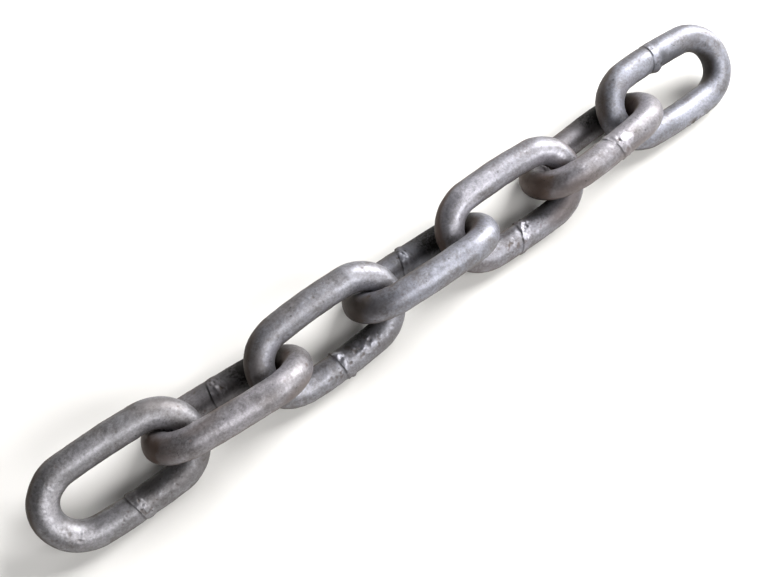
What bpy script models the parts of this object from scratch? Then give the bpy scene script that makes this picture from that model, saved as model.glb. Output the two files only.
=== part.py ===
"""A short length of welded round-steel chain, lying in a line on the ground.

Each link is one solid: a round bar bent to a long loop, with its ends butt-welded in the middle of
one leg. In a link's own frame X runs along the link and Y across it, so the loop lies in its XY
plane. The links lean to one side and the other in turn, each about square to the next, and each
hangs in the crown of the link before it.
"""

import math

import bpy
import numpy as np
from mathutils import Matrix, Vector

# Sizes of a link, in metres.
BAR_D = 0.022
INSIDE_LENGTH = 0.087
OUTSIDE_WIDTH = 0.0712
LEG_BOW = 0.0015
BOW_INTO_CROWN = 0.35
GAP = 0.0005

# The weld: a seam round the bar, with a low collar of squeezed-out steel beside it.
SEAM_D = 0.0213
SEAM_WIDTH = 0.0012
COLLAR_D = 0.0232
COLLAR_LENGTH = 0.0065
FLAT_LENGTH = 0.012

# The facets of a bar.
BAR_SIDES = 16
CROWN_STEPS = 12
LEG_STEPS = 4
SHARPEST_SMOOTH_EDGE = math.radians(40)

# How finely a link is slid into the link that holds it.
FINE_STEPS = 90
HALVINGS = 30
SLIDE_BACK = 0.017
SLIDE_ON = 0.0044

BAR_R = BAR_D / 2
CROWN_R = (OUTSIDE_WIDTH - BAR_D) / 2
HALF_STRAIGHT = (INSIDE_LENGTH + BAR_D) / 2 - CROWN_R
BOW_REACH = HALF_STRAIGHT + BOW_INTO_CROWN * CROWN_R

# How each link lies, from the near end: its roll about its length, how far its far end dips and its
# turn on the ground, in degrees, its place to the side, in metres, whether its weld is on the leg
# that is down, and how far the seam is from the middle of that leg, in metres.
LIES = (
    {"roll": 41.5, "dip": 0.0, "turn": -1.3, "side": 0.0, "weld_down": True, "weld_at": -0.0042},
    {"roll": -44.0, "dip": 0.0, "turn": -4.1, "side": -0.0026, "weld_down": True, "weld_at": -0.0044},
    {"roll": 46.0, "dip": 0.0, "turn": 1.2, "side": -0.0030, "weld_down": True, "weld_at": -0.0046},
    {"roll": -44.5, "dip": 0.0, "turn": -1.6, "side": -0.0019, "weld_down": True, "weld_at": -0.0061},
    {"roll": 43.0, "dip": 0.0, "turn": -1.1, "side": -0.0018, "weld_down": True, "weld_at": -0.0086},
    {"roll": -41.0, "dip": 0.0, "turn": 3.4, "side": 0.0010, "weld_down": False, "weld_at": -0.0021},
    {"roll": 35.0, "dip": 2.8, "turn": -0.5, "side": 0.0064, "weld_down": False, "weld_at": -0.0063},
)

STEEL_COLOUR = (0.30, 0.29, 0.29, 1.0)
STEEL_ROUGHNESS = 0.45
STEEL_METALLIC = 0.85


def bowed(x, y):
    """The centreline's point at (x, y), swelled outwards a little towards the middle of a leg."""
    swell = LEG_BOW * max(0.0, 1 - (x / BOW_REACH) ** 2)
    return Vector((x, y + math.copysign(swell, y), 0))


def crown(end, steps):
    """The bar's centre round one end of the loop, where end is 1 at +X and -1 at -X."""
    angles = [math.pi * (step / steps - 0.5) for step in range(steps + 1)]
    return [
        bowed(end * (HALF_STRAIGHT + CROWN_R * math.cos(angle)), end * CROWN_R * math.sin(angle))
        for angle in angles
    ]


def middle_of_leg(weld_at):
    """(x, radius) along the middle of a leg, where weld_at is None on a leg with no weld."""
    half = FLAT_LENGTH / 2
    if weld_at is None:
        return [(-half, BAR_R), (half, BAR_R)]
    start = weld_at + SEAM_WIDTH
    end = start + COLLAR_LENGTH
    return [
        (weld_at - SEAM_WIDTH, BAR_R),
        (weld_at, SEAM_D / 2),
        (start, COLLAR_D / 2),
        (end, COLLAR_D / 2),
        (end + SEAM_WIDTH, BAR_R),
    ]


def leg(side, weld_at):
    """(place, radius) along one leg, where side is 1 at +Y and -1 at -Y, in the loop's direction.

    The bar is straight through the middle, so its facets are flat there.
    """
    middle = middle_of_leg(weld_at)
    first, last = middle[0][0], middle[-1][0]
    fractions = [step / LEG_STEPS for step in range(1, LEG_STEPS)]
    before = [(-HALF_STRAIGHT + (first + HALF_STRAIGHT) * part, BAR_R) for part in fractions]
    after = [(last + (HALF_STRAIGHT - last) * part, BAR_R) for part in fractions]
    middle_y = bowed(FLAT_LENGTH / 2, side * CROWN_R).y
    points = [(bowed(x, side * CROWN_R), radius) for x, radius in before]
    points += [(Vector((x, middle_y, 0)), radius) for x, radius in middle]
    points += [(bowed(x, side * CROWN_R), radius) for x, radius in after]
    return points[::-1] if side == 1 else points


def loop_points(weld_side, weld_at):
    """(place, radius) round the whole loop, with the weld on the leg at weld_side."""
    far = [(place, BAR_R) for place in crown(1, CROWN_STEPS)]
    near = [(place, BAR_R) for place in crown(-1, CROWN_STEPS)]
    left = leg(1, weld_at if weld_side == 1 else None)
    right = leg(-1, weld_at if weld_side == -1 else None)
    return far + left + near + right


def link_mesh(name, weld_side, weld_at, facet_turn):
    """One link as a mesh in its own frame, with its bar's facets turned by facet_turn.

    The turn lets a facet of the leg that is down lie flat on the ground.
    """
    points = loop_points(weld_side, weld_at)
    curve = bpy.data.curves.new(name + "_bar", "CURVE")
    curve.dimensions = "3D"
    curve.twist_mode = "Z_UP"
    curve.bevel_depth = BAR_R
    curve.bevel_resolution = (BAR_SIDES - 4) // 2
    spline = curve.splines.new("POLY")
    spline.points.add(len(points) - 1)
    spline.use_cyclic_u = True
    for point, (place, radius) in zip(spline.points, points):
        point.co = (*place, 1)
        point.radius = radius / BAR_R
        point.tilt = facet_turn
    bar = bpy.data.objects.new(name + "_bar", curve)
    bpy.context.scene.collection.objects.link(bar)
    graph = bpy.context.evaluated_depsgraph_get()
    mesh = bpy.data.meshes.new_from_object(bar.evaluated_get(graph))
    mesh.name = name
    bpy.data.objects.remove(bar)
    mesh.shade_smooth()
    mesh.set_sharp_from_angle(angle=SHARPEST_SMOOTH_EDGE)
    return mesh


def steel(name):
    material = bpy.data.materials.new(name)
    material.use_nodes = True
    shader = material.node_tree.nodes["Principled BSDF"]
    shader.inputs["Base Color"].default_value = STEEL_COLOUR
    shader.inputs["Roughness"].default_value = STEEL_ROUGHNESS
    shader.inputs["Metallic"].default_value = STEEL_METALLIC
    material.diffuse_color = STEEL_COLOUR
    return material


def fine_loop(pose):
    """The centreline of a posed link, as an array with a row a point."""
    along = np.linspace(HALF_STRAIGHT, -HALF_STRAIGHT, FINE_STEPS)
    half = crown(1, FINE_STEPS) + [bowed(x, CROWN_R) for x in along]
    rows = np.array([tuple(place) for place in half])
    rows = np.concatenate([rows, -rows])
    return rows @ np.array(pose.to_3x3()).T + np.array(pose.translation)


def tighten(pose, before):
    """Slides a link along +X until its bar is GAP away from the link that holds it."""
    holder = fine_loop(before)
    held = fine_loop(pose)
    low, high = -SLIDE_BACK, SLIDE_ON
    for _ in range(HALVINGS):
        shift = (low + high) / 2
        apart = np.linalg.norm(holder[:, None] - (held + (shift, 0, 0)), axis=2).min()
        if apart > BAR_D + GAP:
            low = shift
        else:
            high = shift
    pose.translation.x += low


def crossing(pose, before):
    """Where the crown that holds a link passes through that link's own plane."""
    crown_places = [before @ place for place in crown(1, FINE_STEPS)]
    return min(crown_places, key=lambda place: abs((pose.inverted() @ place).z))


def build():
    for old in list(bpy.data.objects):
        bpy.data.objects.remove(old)
    chain = bpy.data.collections.new("iron_chain")
    bpy.context.scene.collection.children.link(chain)

    links = []
    before = None
    for number, lie in enumerate(LIES, 1):
        name = f"link_{number}"
        roll = math.radians(lie["roll"])
        down_side = -1 if roll > 0 else 1
        weld_side = down_side if lie["weld_down"] else -down_side
        mesh = link_mesh(name, weld_side, lie["weld_at"], math.pi / BAR_SIDES - abs(roll))
        turn = Matrix.Rotation(math.radians(lie["turn"]), 4, "Z")
        turn = turn @ Matrix.Rotation(math.radians(lie["dip"]), 4, "Y") @ Matrix.Rotation(roll, 4, "X")
        lowest = min((turn @ vertex.co).z for vertex in mesh.vertices)
        start_x = before.translation.x + INSIDE_LENGTH if before else 0.0
        pose = Matrix.Translation((start_x, lie["side"], -lowest)) @ turn
        pivot = pose.translation.copy()
        if before:
            tighten(pose, before)
            pivot = crossing(pose, before)
        mesh.transform(Matrix.Translation(-(pose.inverted() @ pivot)))
        mesh.materials.append(steel(name + "_steel"))
        link = bpy.data.objects.new(name, mesh)
        chain.objects.link(link)
        link.matrix_world = Matrix.Translation(pivot) @ turn
        links.append(link)
        before = pose

    bpy.context.view_layer.update()
    corners = [link.matrix_world @ vertex.co for link in links for vertex in link.data.vertices]
    middle_x = (min(corner.x for corner in corners) + max(corner.x for corner in corners)) / 2
    middle_y = (min(corner.y for corner in corners) + max(corner.y for corner in corners)) / 2
    for link in links:
        link.location.x -= middle_x
        link.location.y -= middle_y


build()
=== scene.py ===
"""Seven links of worn round-steel chain, lying in a line on a pale floor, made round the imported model."""

import math

import bpy
import numpy as np
from mathutils import Matrix, Vector


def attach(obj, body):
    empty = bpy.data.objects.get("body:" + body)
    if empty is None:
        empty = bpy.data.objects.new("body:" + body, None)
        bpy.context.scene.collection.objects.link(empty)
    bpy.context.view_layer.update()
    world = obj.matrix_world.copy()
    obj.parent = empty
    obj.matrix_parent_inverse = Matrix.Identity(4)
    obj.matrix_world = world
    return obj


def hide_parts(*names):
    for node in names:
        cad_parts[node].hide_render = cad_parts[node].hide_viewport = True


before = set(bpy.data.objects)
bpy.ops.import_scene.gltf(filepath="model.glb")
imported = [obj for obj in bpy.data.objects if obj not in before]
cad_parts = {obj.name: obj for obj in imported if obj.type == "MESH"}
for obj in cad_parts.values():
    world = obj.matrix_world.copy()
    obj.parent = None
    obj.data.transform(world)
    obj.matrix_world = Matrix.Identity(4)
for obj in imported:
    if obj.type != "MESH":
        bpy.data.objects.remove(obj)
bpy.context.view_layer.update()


# The bar of a link: hot-rolled round steel, cut to length, bent round two pins to a long loop and
# closed by a butt weld in the middle of one leg. Rolling, bending and years of rubbing leave it
# slightly lumpy, with small pits and flats, and no two links are quite the same.
MM = 0.001
BAR_R = 0.011
CROWN_R = 0.0246
HALF_STRAIGHT = 0.0299
LEG_BOW = 0.0015
BOW_REACH = 0.03851
CROWN_LENGTH = math.pi * CROWN_R
LOOP_LENGTH = 4 * HALF_STRAIGHT + 2 * CROWN_LENGTH

RINGS = 620
SIDES = 104
FINE_SPOTS = 8001
WELD_CROWDING = 1.9
CROWD_PAST_SEAM = 4 * MM
CROWDED_LENGTH = 0.010

WAVES = 56
WAVE_PEAK = 1.4
LUMP_POWER = 1.5

PITS = 300
PIT_REACH = (0.7, 2.0)
PIT_DEPTH = (0.02, 0.11)


def link_place(name, roll, dip, turn):
    """A packed link's own axes, as columns, and the middle of its loop: X along it, Y across it."""
    axes = Matrix.Rotation(math.radians(turn), 3, "Z")
    axes = axes @ Matrix.Rotation(math.radians(dip), 3, "Y") @ Matrix.Rotation(math.radians(roll), 3, "X")
    axes = np.array(axes)
    corners = np.array([tuple(vertex.co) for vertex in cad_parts[name].data.vertices]) @ axes
    low, high = corners.min(axis=0), corners.max(axis=0)
    crown_tip = corners[corners[:, 0].argmax()]
    middle = np.array([(low[0] + high[0]) / 2, crown_tip[1], (low[2] + high[2]) / 2])
    return axes, axes @ middle


def ring_spots(weld_at):
    """How far round the loop each ring of the mesh is, with more rings near the weld."""
    fine = np.linspace(-LOOP_LENGTH / 2, LOOP_LENGTH / 2, FINE_SPOTS)
    crowd = 1 + WELD_CROWDING * np.exp(-(((fine - weld_at - CROWD_PAST_SEAM) / CROWDED_LENGTH) ** 2))
    total = np.concatenate([[0.0], np.cumsum((crowd[1:] + crowd[:-1]) / 2)])
    return np.interp(np.arange(RINGS) / RINGS * total[-1], total, fine)


def bar_line(along, weld_side):
    """The bar's middle and the loop's outward direction, at distances from the welded leg's middle."""
    x, y = np.zeros_like(along), np.zeros_like(along)
    out_x, out_y = np.zeros_like(along), np.zeros_like(along)
    size, end = np.abs(along), np.sign(along)
    near = size < HALF_STRAIGHT
    far = size > HALF_STRAIGHT + CROWN_LENGTH
    bend = ~near & ~far
    angle = (size - HALF_STRAIGHT) / CROWN_R
    x[near] = size[near]
    x[far] = (2 * HALF_STRAIGHT + CROWN_LENGTH - size)[far]
    x[bend] = HALF_STRAIGHT + CROWN_R * np.sin(angle[bend])
    y[near], y[far] = CROWN_R, -CROWN_R
    y[bend] = CROWN_R * np.cos(angle[bend])
    out_x[bend] = np.sin(angle[bend])
    out_y[near], out_y[far] = 1, -1
    out_y[bend] = np.cos(angle[bend])
    y += np.sign(y) * LEG_BOW * np.maximum(0, 1 - (x / BOW_REACH) ** 2)
    still = np.zeros_like(x)
    middle = np.stack([end * x, weld_side * y, still], axis=1)
    outward = np.stack([end * out_x, weld_side * out_y, still], axis=1)
    return middle, outward


def ripples(places, shortest, longest, seed, count=WAVES):
    """A smooth random height at each place, mostly within -1 to 1, from waves of these lengths."""
    dice = np.random.default_rng(seed)
    ways = dice.normal(size=(count, 3))
    ways /= np.linalg.norm(ways, axis=1)[:, None]
    lengths = dice.uniform(shortest, longest, count)
    starts = dice.uniform(0, 2 * math.pi, count)
    height = np.zeros(len(places))
    for way, length, start in zip(ways, lengths, starts):
        height += np.cos(places @ (way * 2 * math.pi / length) + start)
    return height * math.sqrt(2 / count) / WAVE_PEAK


def soft_step(value, low, high):
    """0 at low and 1 at high, with a smooth rise between them. low may be the larger one."""
    part = np.clip((value - low) / (high - low), 0, 1)
    return part * part * (3 - 2 * part)


def turn_apart(angle, centre):
    """The angle round the bar from centre, from -pi to pi."""
    return (angle - centre + math.pi) % (2 * math.pi) - math.pi


def bump(along, angle, spot):
    """One lump or dent: spot is its distance along, angle, reach and height, in mm and degrees."""
    away_along = (along - spot[0] * MM) / (spot[2] * MM)
    away_round = turn_apart(angle, math.radians(spot[1])) * BAR_R / (spot[2] * MM)
    inside = np.maximum(0, 1 - away_along**2 - away_round**2)
    return spot[3] * MM * inside**LUMP_POWER


def scattered_pits(along, angle, seed):
    """The depth of small pits scattered over the whole bar."""
    dice = np.random.default_rng(seed)
    sunk = np.zeros_like(along)
    for _ in range(PITS):
        centre = dice.uniform(-LOOP_LENGTH / 2, LOOP_LENGTH / 2)
        around = dice.uniform(-math.pi, math.pi)
        size = dice.uniform(*PIT_REACH)
        deep = dice.uniform(*PIT_DEPTH)
        chosen = np.abs(along - centre) < size * MM
        spot = (centre / MM, math.degrees(around), size, deep)
        sunk[chosen] -= bump(along[chosen], angle[chosen], spot)
    return sunk


# The weld: the bar's two ends are pressed together hot, which squeezes out a ragged collar of steel
# beside a narrow groove. The collar is knocked off roughly, and crumbs, lumps, beads of spatter and the
# dents of the clamps that held the bar stay on it.
SEAM_RING_R = 6
SEAM_WANDER = 0.45 * MM
WANDER_WAVES = (9 * MM, 22 * MM)

COLLAR_START = 0.2 * MM
COLLAR_RISE = 1.1 * MM
COLLAR_FALL = 2.6 * MM
COLLAR_LIMITS = (0.05, 1.9)
LENGTH_CHANGE = 0.22
LENGTH_WAVES = (7 * MM, 16 * MM)
UNEVEN_CHANGE = 0.50
UNEVEN_WAVES = (8 * MM, 20 * MM)
RAGGED_WAVES = (3.4 * MM, 8.0 * MM)

GROOVE_WIDTH = 0.75 * MM
GROOVE_DEPTH_MIDDLE = 0.50
GROOVE_DEPTH_CHANGE = 0.80
GROOVE_DEPTH_LIMITS = (0.0, 1.2)
GROOVE_WAVES = (5 * MM, 12 * MM)
SAG_DEPTH = 0.10 * MM
SAG_BEFORE_SEAM = 1.6 * MM
SAG_LENGTH = 1.8 * MM

CRUMB_GAIN = 2.2
CRUMB_WAVES = (2.2 * MM, 6.5 * MM)
CRUMB_WAVE_COUNT = 72
CLUSTER_WAVES = (6 * MM, 14 * MM)
CLUSTER_EDGES = (-0.3, 0.7)
PATCH_CORE = 0.35


def weld_relief(along, angle, places, weld, seed):
    """The weld's height over the bar, and where its collar and its groove are.

    weld gives where the seam is along its leg and how far it leans and to which side, the collar's
    length, height and raggedness, and the groove's depth, in mm and degrees. What only changes round
    the bar is read on a ring of SEAM_RING_R mm.
    """
    round_bar = np.stack([np.cos(angle), np.sin(angle), 0 * angle], axis=1) * SEAM_RING_R * MM
    wander = SEAM_WANDER * ripples(round_bar, *WANDER_WAVES, seed)
    slant = weld["slant"] * MM * np.cos(angle - math.radians(weld["slant_to"]))
    past = along - weld["at"] * MM - slant - wander
    length = weld["length"] * MM * (1 + LENGTH_CHANGE * ripples(round_bar, *LENGTH_WAVES, seed + 1))
    collar = soft_step(past, COLLAR_START, COLLAR_RISE)
    collar = collar * (1 - soft_step(past, length - COLLAR_FALL, length))
    uneven = 1 + UNEVEN_CHANGE * ripples(round_bar, *UNEVEN_WAVES, seed + 2)
    ragged = 1 + weld["ragged"] * ripples(places, *RAGGED_WAVES, seed + 3)
    height = weld["collar"] * MM * collar * np.clip(uneven * ragged, *COLLAR_LIMITS)
    openness = GROOVE_DEPTH_MIDDLE + GROOVE_DEPTH_CHANGE * ripples(round_bar, *GROOVE_WAVES, seed + 4)
    openness = np.clip(openness, *GROOVE_DEPTH_LIMITS)
    groove = openness * np.exp(-((past / GROOVE_WIDTH) ** 2))
    sag = SAG_DEPTH * np.exp(-(((past + SAG_BEFORE_SEAM) / SAG_LENGTH) ** 2))
    return height - weld["groove"] * MM * groove - sag, np.clip(collar, 0, 1), np.clip(groove, 0, 1)


def rough_patch(along, angle, places, patch, seed):
    """Pits and crumbs over a patch: its distance along, half length, angle, half angle and height."""
    centre, half_length, around, half_angle, height = patch
    reach = ((along - centre * MM) / (half_length * MM)) ** 2
    reach = reach + (turn_apart(angle, math.radians(around)) / math.radians(half_angle)) ** 2
    mask = 1 - soft_step(reach, PATCH_CORE, 1.0)
    crumbs = ripples(places, *CRUMB_WAVES, seed, CRUMB_WAVE_COUNT)
    clusters = soft_step(ripples(places, *CLUSTER_WAVES, seed + 5), *CLUSTER_EDGES)
    return height * MM * mask * clusters * CRUMB_GAIN * crumbs * np.abs(crumbs), mask * clusters


# Wear, dirt and painted light: the dark zones are painted shade on the legs that stay down behind other
# links, with some grime; the brown zones are rust stains where water is held, and painted shade on the
# shaded crowns; the bright zones are painted highlights, made smoother as polish where loads and other
# links pass. Each lies on the bar as soft-edged zones, and the side turned away from the lamps is
# painted browner and darker as shade, with some rust from the air.
# The side turned away from the lamps, painted browner and darker as shade, with some rust.
RUST_AND_SHADE_SIDE = (-0.75, 0.60, -0.30)
RUST_AND_SHADE_SIDE_EDGES = (-0.10, 0.65)
UNDERSIDE_EDGES = (-0.30, 0.70)
RUBBED_CROWN_EDGES = (0.35, 0.9)
RUBBED_INSIDE_EDGES = (0.3, 0.9)


def covered(along, angle, zones):
    """How much the zones cover each point: they are (along, half length, angle, half angle, cover)."""
    cover = np.zeros_like(along)
    for centre, half_length, around, half_angle, thickness in zones:
        gap = (along - centre * MM + LOOP_LENGTH / 2) % LOOP_LENGTH - LOOP_LENGTH / 2
        reach = (gap / (half_length * MM)) ** 2
        reach = reach + (turn_apart(angle, math.radians(around)) / math.radians(half_angle)) ** 2
        cover = np.maximum(cover, thickness * (1 - soft_step(reach, 0.0, 1.0)))
    return cover


# A finished link: the bar with its weld as one mesh, in the place of the imported link. Masks for the
# steel's finish, its painted shade and its painted highlights are kept on its points, so they stay on it
# as it moves.
BROAD_LUMPS = 0.13 * MM
BROAD_WAVES = (16 * MM, 46 * MM)
HAMMER_MARKS = 0.05 * MM
HAMMER_WAVES = (5 * MM, 11 * MM)
SKIN_GRAIN = 0.022 * MM
GRAIN_WAVES = (1.7 * MM, 3.6 * MM)
GRAIN_WAVE_COUNT = 80
CROWN_FLATTENING = 0.16 * MM
FLOOR_CLEARANCE = 0.1 * MM

RELIEF_RANGE = 0.30 * MM
HAMMER_IN_RELIEF = 0.5
LUMP_IN_RELIEF = 0.6
CRUMBS_AS_WELD = 0.6


def link_piece(name, lie, weld, patches, seed):
    """Makes the link as an object and hangs it on its own body."""
    axes, middle = link_place(name, lie["roll"], lie["dip"], lie["turn"])
    weld_side = weld["side"]
    spots = ring_spots(weld["at"] * MM)
    line, outward = bar_line(spots, weld_side)
    angles = np.arange(SIDES) * 2 * math.pi / SIDES
    along = np.repeat(spots, SIDES)
    angle = np.tile(angles, RINGS)
    ray = np.repeat(outward, SIDES, axis=0) * np.cos(angle)[:, None]
    ray[:, 2] += np.sin(angle)
    round_places = np.repeat(line, SIDES, axis=0) + BAR_R * ray

    lumps = ripples(round_places, *BROAD_WAVES, seed + 10)
    marks = ripples(round_places, *HAMMER_WAVES, seed + 11)
    grain = ripples(round_places, *GRAIN_WAVES, seed + 12, GRAIN_WAVE_COUNT)
    height = BROAD_LUMPS * lumps + HAMMER_MARKS * marks + SKIN_GRAIN * grain
    pits = scattered_pits(along, angle, seed + 13)
    height += pits
    weld_height, weld_mask, groove = weld_relief(along, angle, round_places, weld, seed + 20)
    height += weld_height
    relief = SKIN_GRAIN * grain + pits + HAMMER_MARKS * HAMMER_IN_RELIEF * marks
    crumbled = np.zeros_like(height)
    for number, patch in enumerate(weld["rough"]):
        crumbs, mask = rough_patch(along, angle, round_places, patch, seed + 40 + number)
        height += crumbs
        relief += crumbs
        crumbled = np.maximum(crumbled, mask)
    for spot in weld["lumps"]:
        lump = bump(along, angle, spot)
        height += lump
        relief += LUMP_IN_RELIEF * lump
    crown = soft_step(np.abs(np.abs(along) - HALF_STRAIGHT - CROWN_LENGTH / 2), CROWN_LENGTH / 2, 0)
    flattened = CROWN_FLATTENING * crown * np.cos(2 * angle)
    places = round_places + (height - flattened)[:, None] * ray
    places = places @ axes.T + middle
    places[:, 2] = np.maximum(places[:, 2], FLOOR_CLEARANCE)

    rows = np.arange(RINGS)[:, None] * SIDES + np.arange(SIDES)[None]
    next_rows = np.roll(rows, -1, axis=0)
    faces = np.stack([rows, next_rows, np.roll(next_rows, -1, axis=1), np.roll(rows, -1, axis=1)], axis=2)
    faces = faces.reshape(-1, 4)
    if weld_side == 1:
        faces = faces[:, ::-1]
    mesh = bpy.data.meshes.new(name + "_bar")
    mesh.from_pydata(places.tolist(), [], faces.tolist())
    mesh.shade_smooth()

    facing = ray @ axes.T
    inside = soft_step(-np.cos(angle), *RUBBED_INSIDE_EDGES)
    # The underside, side and zone masks carry painted shade and highlights, with rust, grime and polish.
    masks = {
        "relief": np.clip(0.5 + relief / RELIEF_RANGE, 0, 1),
        "weld": np.clip(weld_mask + CRUMBS_AS_WELD * crumbled, 0, 1),
        "groove": groove,
        "underside": soft_step(-facing[:, 2], *UNDERSIDE_EDGES),
        "weathered": soft_step(facing @ np.array(RUST_AND_SHADE_SIDE), *RUST_AND_SHADE_SIDE_EDGES),
        "rubbed": soft_step(crown, *RUBBED_CROWN_EDGES) * inside,
        "grime": covered(along, angle, patches["grime"]),
        "stain": covered(along, angle, patches["stain"]),
        "polish": covered(along, angle, patches["polish"]),
    }
    for mask_name, values in masks.items():
        mask = mesh.attributes.new(mask_name, "FLOAT", "POINT")
        mask.data.foreach_set("value", values.astype(np.float32))
    link = bpy.data.objects.new(name + "_steel_bar", mesh)
    bpy.context.scene.collection.objects.link(link)
    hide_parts(name)
    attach(link, name)
    return link


# The steel's finish: dark mill scale worn through to grey metal, bright where things rub it, with a
# thin brown film of rust in the dents and soot in the deepest ones. The film and black also lie on the
# underside and the side away from the lamps as painted shade, partly rust, and on the dark zones as
# painted shade, partly grime; the bright zones are painted highlights. Noises are given as scale,
# detail and roughness, and spreads as from, to, value at from, value at to.
SCALE_GREY = (0.140, 0.133, 0.133)
# Black for soot, and for the painted shade.
SOOT_AND_SHADE_BLACK = (0.012, 0.010, 0.009)

BLOTCH_NOISE = (75, 5, 0.6)
BLOTCH_SPREAD = (0.30, 0.70)
FLECK_NOISE = (520, 4, 0.7)
FLECK_SPREAD = (0.32, 0.68)
SPECK_NOISE = (430, 2, 0.5)
SPECK_SPREAD = (0.66, 0.76)

FLECKS_IN_GREY = 0.9
GREY_SPREAD = (-0.2, 1.6)
FLECK_POWER = 2.0
FLECK_SHINE = 0.20
PEAK_SPREAD = (0.44, 0.86)
PEAK_SHINE = 0.28
WELD_SHINE = 0.10
RUBBED_SHINE = 0.2
SHINE_LEFT_BELOW = (0.15, 0.75, 1.0, 0.12)

HOLLOW_SPREAD = (0.40, 0.10)
HOLLOW_RUST = 0.40
BLOTCH_RUST = 0.25
FLECK_RUST = 0.15
RUST_SPREAD = (-0.15, 0.75)
PATCHY_SPREAD = (0.3, 1.7, 0.8, 1.2)
# How the bright zones' painted highlights follow the flecks.
POLISH_AND_HIGHLIGHT_SPREAD = (0.0, 1.0, 0.55, 0.95)
GROOVE_SOOT = 0.50
SPECK_SOOT = 0.50
# How dark the painted shade on the underside gets.
SHADE_BELOW_SPREAD = (0.45, 1.0)
SHADE_BELOW = 0.70

FINE_SKIN_NOISE = (1500, 3, 0.6)
FINE_SKIN_HEIGHT = 0.07 * MM
COARSE_SKIN_NOISE = (520, 3, 0.6)
COARSE_SKIN_HEIGHT = 0.10 * MM
FLECK_HEIGHT = 0.03 * MM

METAL_UNDER_FILM = (0.0, 0.9, 0.85, 0.40)
ROUGHNESS_OF_SHINE = (0.0, 1.0, 0.51, 0.42)
FILM_ROUGHNESS = 0.12
SPECULAR_LEVEL = 0.3
SKIN_STRENGTH = 0.8


def new_group(name, inputs, outputs):
    """An empty shader group with these sockets, and its input and output nodes."""
    group = bpy.data.node_groups.new(name, "ShaderNodeTree")
    for socket_name, kind, value in inputs:
        socket = group.interface.new_socket(socket_name, in_out="INPUT", socket_type=kind)
        if value is not None:
            socket.default_value = value
    for socket_name, kind in outputs:
        group.interface.new_socket(socket_name, in_out="OUTPUT", socket_type=kind)
    return group, group.nodes.new("NodeGroupInput"), group.nodes.new("NodeGroupOutput")


def noise(tree, place, scale, detail, roughness):
    """A noise over the steel, from 0 to 1."""
    node = tree.nodes.new("ShaderNodeTexNoise")
    node.inputs["Scale"].default_value = scale
    node.inputs["Detail"].default_value = detail
    node.inputs["Roughness"].default_value = roughness
    tree.links.new(place, node.inputs["Vector"])
    return node.outputs["Fac"]


def spread(tree, value, low, high, out_low=0.0, out_high=1.0):
    """value from low to high, spread smoothly over out_low to out_high."""
    node = tree.nodes.new("ShaderNodeMapRange")
    node.interpolation_type = "SMOOTHSTEP"
    tree.links.new(value, node.inputs["Value"])
    node.inputs["From Min"].default_value = low
    node.inputs["From Max"].default_value = high
    node.inputs["To Min"].default_value = out_low
    node.inputs["To Max"].default_value = out_high
    return node.outputs["Result"]


def plug(tree, value, socket):
    """Links value to the socket, or sets it there if it is a plain number."""
    if isinstance(value, (int, float)):
        socket.default_value = value
    else:
        tree.links.new(value, socket)


def reckon(tree, kind, first, second, clamp=False):
    """A Math node of this kind, kept within 0 to 1 if clamp is set."""
    node = tree.nodes.new("ShaderNodeMath")
    node.operation = kind
    node.use_clamp = clamp
    plug(tree, first, node.inputs[0])
    plug(tree, second, node.inputs[1])
    return node.outputs["Value"]


def add(tree, first, second, clamp=False):
    return reckon(tree, "ADD", first, second, clamp)


def times(tree, first, second, clamp=False):
    return reckon(tree, "MULTIPLY", first, second, clamp)


def larger(tree, first, second):
    return reckon(tree, "MAXIMUM", first, second)


def coat(tree, amount, under, over):
    """The colour under, covered by the colour over as far as amount says."""
    node = tree.nodes.new("ShaderNodeMix")
    node.data_type = "RGBA"
    plug(tree, amount, node.inputs["Factor"])
    tree.links.new(under, node.inputs["A"])
    tree.links.new(over, node.inputs["B"])
    return node.outputs["Result"]


def mottling_group():
    """Blotches, flecks and specks: the patches of scale and bare metal, as masks."""
    group, given, made = new_group(
        "steel_mottling",
        [("Place", "NodeSocketVector", None), ("Shift", "NodeSocketFloat", 0.0)],
        [("Blotches", "NodeSocketFloat"), ("Flecks", "NodeSocketFloat"), ("Specks", "NodeSocketFloat")],
    )
    shifted = group.nodes.new("ShaderNodeVectorMath")
    shifted.operation = "ADD"
    group.links.new(given.outputs["Place"], shifted.inputs[0])
    group.links.new(given.outputs["Shift"], shifted.inputs[1])
    place = shifted.outputs["Vector"]
    blotches = spread(group, noise(group, place, *BLOTCH_NOISE), *BLOTCH_SPREAD)
    flecks = spread(group, noise(group, place, *FLECK_NOISE), *FLECK_SPREAD)
    specks = spread(group, noise(group, place, *SPECK_NOISE), *SPECK_SPREAD)
    group.links.new(blotches, made.inputs["Blotches"])
    group.links.new(flecks, made.inputs["Flecks"])
    group.links.new(specks, made.inputs["Specks"])
    return group


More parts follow.
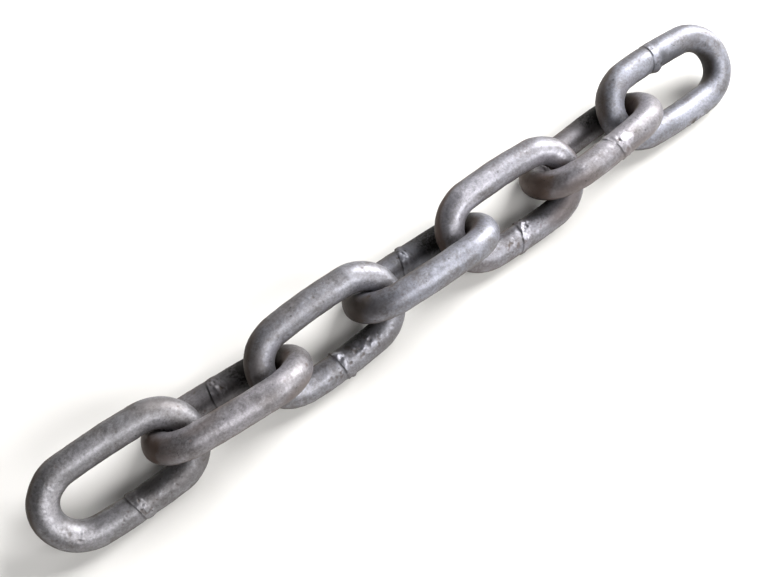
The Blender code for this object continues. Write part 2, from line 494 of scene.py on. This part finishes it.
def worn_colour_group():
    """The colour where scale, grey metal, bright metal, brown film and soot lie over each other, with
    painted shade and painted highlights.
    """
    colours = ("Scale", "Grey", "Bright", "Brown", "Soot")
    defaults = {"Blotches": 0.5, "Flecks": 0.5, "Specks": 0.0, "Relief": 0.5, "Brown Amount": 0.5}
    empty = ("Weld", "Groove", "Underside", "Weathered", "Rubbed", "Grime", "Stain", "Polish")
    defaults.update({socket_name: 0.0 for socket_name in empty})
    group, given, made = new_group(
        "worn_steel_colour_and_painted_light",
        [(socket_name, "NodeSocketColor", None) for socket_name in colours]
        + [(socket_name, "NodeSocketFloat", value) for socket_name, value in defaults.items()],
        [("Colour", "NodeSocketColor"), ("Film", "NodeSocketFloat"), ("Shine", "NodeSocketFloat")],
    )
    mask = given.outputs
    flecks_and_blotches = add(group, times(group, mask["Flecks"], FLECKS_IN_GREY), mask["Blotches"])
    grey_part = spread(group, flecks_and_blotches, *GREY_SPREAD)
    colour = coat(group, grey_part, mask["Scale"], mask["Grey"])

    peaks = spread(group, mask["Relief"], *PEAK_SPREAD)
    shine = times(group, reckon(group, "POWER", mask["Flecks"], FLECK_POWER), FLECK_SHINE)
    shine = add(group, shine, times(group, peaks, PEAK_SHINE), clamp=True)
    shine = add(group, shine, times(group, mask["Weld"], WELD_SHINE), clamp=True)
    shine = add(group, shine, times(group, mask["Rubbed"], RUBBED_SHINE), clamp=True)
    # Painted shade: less of the bright metal on the underside.
    shine = times(group, shine, spread(group, mask["Underside"], *SHINE_LEFT_BELOW))
    colour = coat(group, shine, colour, mask["Bright"])

    hollows = spread(group, mask["Relief"], *HOLLOW_SPREAD)
    # Painted shade with some rust: the brown film on the underside and the side away from the lamps.
    turned_away = larger(group, mask["Underside"], mask["Weathered"])
    film = reckon(group, "SUBTRACT", turned_away, times(group, mask["Blotches"], BLOTCH_RUST))
    film = add(group, film, times(group, mask["Flecks"], FLECK_RUST))
    film = add(group, film, times(group, hollows, HOLLOW_RUST))
    film = times(group, spread(group, film, *RUST_SPREAD), mask["Brown Amount"], clamp=True)
    film = times(group, film, reckon(group, "SUBTRACT", 1.0, mask["Polish"]), clamp=True)
    patchy = spread(group, add(group, mask["Blotches"], mask["Flecks"]), *PATCHY_SPREAD)
    # The stain zones: rust stains, and painted shade on the shaded crowns.
    film = larger(group, film, times(group, mask["Stain"], patchy, clamp=True))
    colour = coat(group, film, colour, mask["Brown"])

    # Painted highlights: the bright zones get the bright metal colour, and less roughness as polish.
    polished_and_highlighted = times(group, mask["Polish"], spread(group, mask["Flecks"], *POLISH_AND_HIGHLIGHT_SPREAD))
    colour = coat(group, polished_and_highlighted, colour, mask["Bright"])
    shine = larger(group, shine, polished_and_highlighted)

    specks = times(group, mask["Specks"], SPECK_SOOT)
    dirt = larger(group, specks, times(group, mask["Groove"], GROOVE_SOOT))
    colour = coat(group, dirt, colour, mask["Soot"])
    # Painted shade: the underside and the dark zones go toward black, the dark zones with some grime.
    shade_below = times(group, spread(group, mask["Underside"], *SHADE_BELOW_SPREAD), SHADE_BELOW)
    grime = times(group, mask["Grime"], patchy, clamp=True)
    colour = coat(group, larger(group, shade_below, grime), colour, mask["Soot"])
    film = larger(group, film, grime)
    group.links.new(colour, made.inputs["Colour"])
    group.links.new(film, made.inputs["Film"])
    group.links.new(shine, made.inputs["Shine"])
    return group


def skin_group():
    """The fine height of the steel's skin, in metres: pitted scale and scratched metal."""
    group, given, made = new_group(
        "steel_skin",
        [("Place", "NodeSocketVector", None), ("Flecks", "NodeSocketFloat", 0.5)],
        [("Height", "NodeSocketFloat")],
    )
    fine = noise(group, given.outputs["Place"], *FINE_SKIN_NOISE)
    coarse = noise(group, given.outputs["Place"], *COARSE_SKIN_NOISE)
    height = times(group, fine, FINE_SKIN_HEIGHT)
    height = add(group, height, times(group, coarse, COARSE_SKIN_HEIGHT))
    height = add(group, height, times(group, given.outputs["Flecks"], FLECK_HEIGHT))
    group.links.new(height, made.inputs["Height"])
    return group


MOTTLING = mottling_group()
WORN_COLOUR = worn_colour_group()
STEEL_SKIN = skin_group()
MASK_NAMES = ("relief", "weld", "groove", "underside", "weathered", "rubbed", "grime", "stain", "polish")


def place_group(tree, group, **values):
    """Adds the group to the material. A value is a number, a colour or another node's output."""
    node = tree.nodes.new("ShaderNodeGroup")
    node.node_tree = group
    for socket_name, value in values.items():
        socket = node.inputs[socket_name.replace("_", " ")]
        if isinstance(value, bpy.types.NodeSocket):
            tree.links.new(value, socket)
        else:
            socket.default_value = value
    return node


def worn_steel(name, grey, bright, brown, brown_amount, shift):
    """The finish of one link. shift moves its blotches, so that no two links have the same."""
    material = bpy.data.materials.new(name)
    material.use_nodes = True
    tree = material.node_tree
    shader = tree.nodes["Principled BSDF"]
    place = tree.nodes.new("ShaderNodeTexCoord").outputs["Object"]
    masks = {}
    for mask_name in MASK_NAMES:
        mask = tree.nodes.new("ShaderNodeAttribute")
        mask.attribute_name = mask_name
        masks[mask_name.capitalize()] = mask.outputs["Fac"]
    mottling = place_group(tree, MOTTLING, Place=place, Shift=shift).outputs
    finish = place_group(
        tree,
        WORN_COLOUR,
        Scale=(*SCALE_GREY, 1),
        Grey=(*grey, 1),
        Bright=(*bright, 1),
        Brown=(*brown, 1),
        Soot=(*SOOT_AND_SHADE_BLACK, 1),
        Blotches=mottling["Blotches"],
        Flecks=mottling["Flecks"],
        Specks=mottling["Specks"],
        Brown_Amount=brown_amount,
        **masks,
    ).outputs
    skin = place_group(tree, STEEL_SKIN, Place=place, Flecks=mottling["Flecks"])
    tree.links.new(finish["Colour"], shader.inputs["Base Color"])
    tree.links.new(spread(tree, finish["Film"], *METAL_UNDER_FILM), shader.inputs["Metallic"])
    rough = spread(tree, finish["Shine"], *ROUGHNESS_OF_SHINE)
    rough = add(tree, rough, times(tree, finish["Film"], FILM_ROUGHNESS), clamp=True)
    tree.links.new(rough, shader.inputs["Roughness"])
    shader.inputs["Specular IOR Level"].default_value = SPECULAR_LEVEL
    height = tree.nodes.new("ShaderNodeBump")
    height.inputs["Distance"].default_value = 1.0
    height.inputs["Strength"].default_value = SKIN_STRENGTH
    tree.links.new(skin.outputs["Height"], height.inputs["Height"])
    tree.links.new(height.outputs["Normal"], shader.inputs["Normal"])
    return material


# Link 1, the near end: a plain round-steel link, open to the view, that holds link 2 in its far crown.
# Its weld is on the leg that is down, low and smooth, with a line of crumbs and shallow clamp marks.
# Rust brown, laid also as painted shade on the underside and the side away from the lamps.
RUST_AND_SHADE_BROWN = (0.070, 0.052, 0.040)

link = link_piece(
    "link_1",
    lie={"roll": 41.5, "dip": 0.0, "turn": -1.3},
    weld={
        "side": -1, "at": -4.2, "slant": 2.8, "slant_to": 0,
        "length": 8.0, "collar": 0.45, "ragged": 0.55, "groove": 0.18,
        "rough": [
            (1, 6, 100, 70, 0.08), (20, 18, 92, 26, 0.07),
            (-48, 16, 108, 30, 0.07), (-92, 10, 80, 30, 0.04),
        ],
        "lumps": [
            (-14.5, 96, 1.7, -0.24), (-12.0, 104, 1.4, -0.2), (-16.8, 86, 1.4, -0.22),
            (-18.9, 97, 1.3, -0.18), (1.5, 95, 2.0, 0.30), (-0.5, 172, 3.6, 0.70),
            (-55.0, 105, 3.4, -0.26), (-46.5, 112, 2.6, -0.20),
        ],
    },
    # The dark zones here are painted shade with some grime, the brown ones rust stains and painted shade,
    # the bright ones painted highlights.
    patches={
        "grime": [(12, 24, 168, 56, 0.70)],
        "stain": [
            (52, 20, 30, 90, 0.35), (-66, 34, 12, 40, 0.60), (98, 20, 40, 40, 0.35),
            (30, 17, 98, 44, 0.30),
        ],
        "polish": [
            (-82, 28, 110, 44, 0.85), (-36, 22, 105, 50, 0.50), (108, 26, 112, 40, 0.45),
            (-126, 24, 66, 44, 0.45), (-20, 14, 136, 40, 0.40),
        ],
    },
    seed=100,
)
link.data.materials.append(worn_steel(
    "link_1_finish_and_painted_light",
    grey=(0.216, 0.212, 0.222), bright=(0.44, 0.43, 0.46), brown=RUST_AND_SHADE_BROWN, brown_amount=0.95, shift=0.0,
))

# Link 2: the same round bar, turned about square to link 1 and hung in its crown. Its welded leg lies
# behind it in the shade, which is painted on it as dark zones with some grime.
# A redder rust brown, laid also as painted shade.
RED_BROWN = (0.088, 0.058, 0.044)

link = link_piece(
    "link_2",
    lie={"roll": -44.0, "dip": 0.0, "turn": -4.1},
    weld={
        "side": 1, "at": -4.4, "slant": 2.9, "slant_to": 0,
        "length": 7.5, "collar": 0.50, "ragged": 0.45, "groove": 0.24,
        "rough": [(1, 6, 140, 50, 0.10)],
        "lumps": [(-0.4, 142, 2.4, 0.55)],
    },
    # The dark zones here are painted shade with some grime, the brown ones rust stains and painted shade,
    # the bright ones painted highlights.
    patches={
        "grime": [(34, 42, 125, 165, 1.02), (0, 24, 120, 140, 0.50)],
        "stain": [(-78, 26, 20, 70, 0.60), (96, 20, 310, 60, 0.60), (-112, 20, 60, 30, 0.40)],
        "polish": [(106, 34, 84, 56, 0.70), (-102, 24, 92, 32, 0.55), (-134, 24, 20, 50, 0.35)],
    },
    seed=200,
)
link.data.materials.append(worn_steel(
    "link_2_finish_and_painted_light",
    grey=(0.222, 0.212, 0.224), bright=(0.46, 0.44, 0.475), brown=RED_BROWN, brown_amount=0.95, shift=1.7,
))

# Link 3: open to the view, hung in link 2. Its weld is the roughest, left as it came from the press,
# with a heavy lump, beads of spatter along the leg and pits under it.
link = link_piece(
    "link_3",
    lie={"roll": 46.0, "dip": 0.0, "turn": 1.2},
    weld={
        "side": -1, "at": -4.6, "slant": 0.6, "slant_to": 0,
        "length": 7.5, "collar": 0.60, "ragged": 0.80, "groove": 0.10,
        "rough": [
            (-1, 6, 110, 70, 0.10), (19, 15, 118, 52, 0.12),
            (-14, 10, 84, 36, 0.10), (34, 16, 95, 32, 0.08),
        ],
        "lumps": [
            (-2.0, 150, 4.4, 1.20), (-0.6, 122, 3.2, 0.60), (-1.8, 98, 2.8, 0.40),
            (6.5, 158, 3.2, -0.45), (16.4, 118, 3.0, 0.95), (14.0, 150, 3.0, 0.55),
            (23.2, 111, 2.3, 0.60), (9.6, 120, 2.0, -0.30), (-12.0, 86, 1.9, -0.30),
            (-15.6, 94, 1.7, -0.26), (-9.0, 76, 1.8, -0.30),
        ],
    },
    # The dark zones here are painted shade with some grime, the brown ones rust stains and painted shade,
    # the bright ones painted highlights.
    patches={
        "grime": [(20, 30, 184, 56, 0.90)],
        "stain": [(-80, 20, 40, 60, 0.50), (-120, 26, 20, 34, 0.40), (34, 18, 60, 50, 0.30)],
        "polish": [
            (-92, 16, 110, 38, 0.75), (106, 22, 108, 46, 0.55), (-36, 22, 118, 46, 0.35),
            (16.4, 4, 117, 24, 0.95), (-2, 5, 150, 32, 0.85), (23.4, 4, 111, 20, 0.85),
        ],
    },
    seed=300,
)
link.data.materials.append(worn_steel(
    "link_3_finish_and_painted_light",
    grey=(0.214, 0.213, 0.232), bright=(0.43, 0.43, 0.48), brown=RUST_AND_SHADE_BROWN, brown_amount=0.90, shift=3.1,
))

# Link 4: turned as link 2 is and hung in link 3, a smooth round bar in front. Its welded leg is in the
# shade, painted dark with some grime, with two small lumps of squeezed-out steel.
link = link_piece(
    "link_4",
    lie={"roll": -44.5, "dip": 0.0, "turn": -1.6},
    weld={
        "side": 1, "at": -6.1, "slant": 2.9, "slant_to": 30,
        "length": 8.0, "collar": 0.45, "ragged": 0.45, "groove": 0.22,
        "rough": [(-3, 6, 140, 50, 0.12)],
        "lumps": [(-3.4, 138, 2.4, 0.60), (-1.0, 152, 1.8, 0.30)],
    },
    # The dark zones here are painted shade with some grime, the brown ones rust stains and painted shade,
    # the bright ones painted highlights.
    patches={
        "grime": [(34, 41, 125, 165, 1.00), (-2, 20, 120, 140, 0.48), (-80, 22, 25, 60, 0.20)],
        "stain": [(-80, 24, 25, 64, 0.45)],
        "polish": [
            (114, 28, 78, 52, 0.42), (140, 24, 28, 50, 0.38), (88, 20, 48, 44, 0.42),
            (-2, 5, 142, 24, 0.60),
        ],
    },
    seed=400,
)
link.data.materials.append(worn_steel(
    "link_4_finish_and_painted_light",
    grey=(0.208, 0.211, 0.242), bright=(0.42, 0.43, 0.49), brown=RUST_AND_SHADE_BROWN, brown_amount=0.92, shift=4.6,
))

# Link 5: open to the view, hung in link 4, with painted highlights on its upper leg and crowns, made
# smoother as polish. Its weld has a thick collar, knocked off short, on the leg that is down.
link = link_piece(
    "link_5",
    lie={"roll": 43.0, "dip": 0.0, "turn": -1.1},
    weld={
        "side": -1, "at": -8.6, "slant": 3.9, "slant_to": 180,
        "length": 9.0, "collar": 0.50, "ragged": 0.80, "groove": 0.08,
        "rough": [(-4, 6, 115, 70, 0.10), (18, 16, 95, 34, 0.06), (-18, 11, 90, 36, 0.07)],
        "lumps": [
            (-0.8, 157, 2.8, 0.90), (-3.6, 116, 3.4, 0.75), (-4.6, 138, 2.6, 0.45),
            (-13.6, 82, 2.2, -0.34), (3.6, 100, 2.2, -0.22),
        ],
    },
    # The dark zones here are painted shade with some grime, the brown ones rust stains and painted shade,
    # the bright ones painted highlights.
    patches={
        "grime": [(20, 28, 184, 52, 0.90)],
        "stain": [
            (74, 18, 24, 44, 0.50), (36, 28, 92, 54, 0.55), (-70, 20, 20, 56, 0.45),
            (-44, 16, 60, 40, 0.30),
        ],
        "polish": [
            (92, 34, 118, 52, 1.00), (-94, 24, 116, 46, 0.95), (-116, 28, 60, 46, 0.60),
            (-98, 20, 38, 32, 0.50), (-4.2, 7, 126, 40, 0.90),
        ],
    },
    seed=500,
)
link.data.materials.append(worn_steel(
    "link_5_finish_and_painted_light",
    grey=(0.226, 0.224, 0.248), bright=(0.47, 0.46, 0.51), brown=RED_BROWN, brown_amount=0.90, shift=6.2,
))

# Link 6: turned as link 2 is and hung in link 5. Its weld is on the leg that is up, in front, where
# the lumps of its collar carry a painted highlight, made smoother as polish. Its far leg, in the shade,
# is painted dark.
link = link_piece(
    "link_6",
    lie={"roll": -41.0, "dip": 0.0, "turn": 3.4},
    weld={
        "side": -1, "at": -2.1, "slant": 3.0, "slant_to": -60,
        "length": 8.5, "collar": 0.35, "ragged": 0.70, "groove": 0.08,
        "rough": [(7, 8, 30, 42, 0.13)],
        "lumps": [
            (3.0, 34, 3.0, 0.50), (7.5, 25, 3.6, 0.65), (11.5, 20, 2.4, 0.40), (4.0, 352, 2.2, -0.40),
        ],
    },
    # The dark zones here are painted shade with some grime, the brown ones rust stains and painted shade,
    # the bright ones painted highlights.
    patches={
        "grime": [(101, 42, 95, 175, 1.04), (138, 18, 120, 90, 0.22)],
        "stain": [
            (-62, 22, 40, 80, 0.50), (-40, 26, 330, 70, 0.55), (10, 36, 322, 40, 0.45),
            (6, 44, 112, 26, 0.40),
        ],
        "polish": [(26, 64, 80, 44, 0.62), (-42, 20, 88, 32, 0.45), (8, 7, 26, 34, 0.95)],
    },
    seed=600,
)
link.data.materials.append(worn_steel(
    "link_6_finish_and_painted_light",
    grey=(0.222, 0.212, 0.228), bright=(0.45, 0.435, 0.475), brown=RED_BROWN, brown_amount=0.92, shift=7.9,
))

# Link 7, the far end: the brightest, hung in link 6 and open to the view. Its collar sticks out into
# the loop, and its other leg is nicked along the outer side, as a dropped load or a tool leaves it.
link = link_piece(
    "link_7",
    lie={"roll": 35.0, "dip": 2.8, "turn": -0.5},
    weld={
        "side": 1, "at": -6.3, "slant": 1.8, "slant_to": 20,
        "length": 9.0, "collar": 0.18, "ragged": 0.50, "groove": 0.16,
        "rough": [(0, 6, 120, 60, 0.05), (128, 8, 40, 34, 0.10)],
        "lumps": [
            (-1.5, 162, 5.5, 1.70), (-2.5, 130, 3.0, 0.30), (131.0, 38, 4.4, -0.95),
            (134.0, 54, 2.4, -0.40), (127.6, 32, 2.4, 0.60), (134.6, 26, 2.2, 0.55),
            (129.5, 20, 2.0, 0.40), (120.0, 14, 2.6, -0.55), (113.0, 10, 2.2, 0.35),
        ],
    },
    # The dark zones here are painted shade with some grime, the brown ones rust stains and painted shade,
    # the bright ones painted highlights.
    patches={
        "grime": [(74, 36, 180, 60, 0.62), (8, 26, 132, 34, 0.55), (4, 7, 118, 46, 0.60)],
        "stain": [(-36, 22, 118, 36, 0.40), (-60, 14, 350, 44, 0.55), (33, 16, 104, 42, 0.25)],
        "polish": [
            (84, 18, 118, 30, 0.45), (128, 28, 90, 52, 0.62), (-28, 22, 116, 44, 0.35),
            (-80, 18, 20, 56, 0.40),
        ],
    },
    seed=700,
)
link.data.materials.append(worn_steel(
    "link_7_finish_and_painted_light",
    grey=(0.208, 0.213, 0.244), bright=(0.43, 0.44, 0.51), brown=RUST_AND_SHADE_BROWN, brown_amount=0.80, shift=9.4,
))


# The floor the chain lies on: a plain pale painted sheet, far larger than the view. It isn't part of
# the chain.
FLOOR_SIZE = 12.0
FLOOR_COLOUR = (0.80, 0.785, 0.76, 1)
FLOOR_ROUGHNESS = 0.9

floor_mesh = bpy.data.meshes.new("pale_floor")
half = FLOOR_SIZE / 2
floor_mesh.from_pydata(
    [(-half, -half, 0), (half, -half, 0), (half, half, 0), (-half, half, 0)], [], [(0, 1, 2, 3)]
)
floor = bpy.data.objects.new("pale_floor", floor_mesh)
bpy.context.scene.collection.objects.link(floor)
paint = bpy.data.materials.new("pale_floor_paint")
paint.use_nodes = True
paint.node_tree.nodes["Principled BSDF"].inputs["Base Color"].default_value = FLOOR_COLOUR
paint.node_tree.nodes["Principled BSDF"].inputs["Roughness"].default_value = FLOOR_ROUGHNESS
floor_mesh.materials.append(paint)

# Studio light: soft round lamps aimed at the chain's middle. The strongest stands high beyond the far
# end, with a weaker one low under it, two on the near side, a faint one behind and a dim even sky.
LAMPS = (
    {"name": "key_lamp", "place": (2.02, 0.30, 1.60), "size": 1.7, "power": 122},
    {"name": "low_lamp", "place": (2.54, -0.05, 0.54), "size": 1.0, "power": 30},
    {"name": "side_lamp", "place": (0.87, -1.86, 1.60), "size": 1.3, "power": 40},
    {"name": "near_lamp", "place": (-0.48, -1.78, 1.84), "size": 1.3, "power": 22},
    {"name": "back_lamp", "place": (0.73, 2.00, 1.49), "size": 1.3, "power": 12},
)
SKY_COLOUR = (0.94, 0.96, 1.0, 1)
SKY_STRENGTH = 0.04


def soft_lamp(name, place, size, power):
    """A round lamp at this place, aimed at the middle of the chain."""
    lamp = bpy.data.lights.new(name, "AREA")
    lamp.shape = "DISK"
    lamp.size = size
    lamp.energy = power
    holder = bpy.data.objects.new(name, lamp)
    holder.location = place
    holder.rotation_mode = "QUATERNION"
    holder.rotation_quaternion = (-Vector(place)).to_track_quat("-Z", "Y")
    bpy.context.scene.collection.objects.link(holder)


for lamp in LAMPS:
    soft_lamp(**lamp)
sky = bpy.data.worlds.new("dim_sky")
sky.use_nodes = True
sky.node_tree.nodes["Background"].inputs["Color"].default_value = SKY_COLOUR
sky.node_tree.nodes["Background"].inputs["Strength"].default_value = SKY_STRENGTH
bpy.context.scene.world = sky
bpy.context.scene.view_settings.view_transform = "Standard"

# The camera, where the photograph was taken from: above the near side, with the chain rising from
# lower left to upper right.
FOCAL_LENGTH = 53.11
SENSOR_WIDTH = 36
TARGET = Vector((-0.03103, 0.00449, 0.0198))
AZIMUTH = math.radians(-35.246)
ELEVATION = math.radians(63.017)
TILT = math.radians(-2.611)
DISTANCE = 0.81403
NEAREST_SEEN = 0.01
FURTHEST_SEEN = 50

camera_data = bpy.data.cameras.new("photo_camera")
camera_data.lens = FOCAL_LENGTH
camera_data.sensor_width = SENSOR_WIDTH
camera_data.clip_start = NEAREST_SEEN
camera_data.clip_end = FURTHEST_SEEN
camera = bpy.data.objects.new("photo_camera", camera_data)
bpy.context.scene.collection.objects.link(camera)
back = Vector((
    math.sin(AZIMUTH) * math.cos(ELEVATION),
    -math.cos(AZIMUTH) * math.cos(ELEVATION),
    math.sin(ELEVATION),
))
camera.location = TARGET + back * DISTANCE
camera.rotation_mode = "QUATERNION"
level = (-back).to_track_quat("-Z", "Y")
camera.rotation_quaternion = level @ Matrix.Rotation(TILT, 3, "Z").to_quaternion()
bpy.context.scene.camera = camera
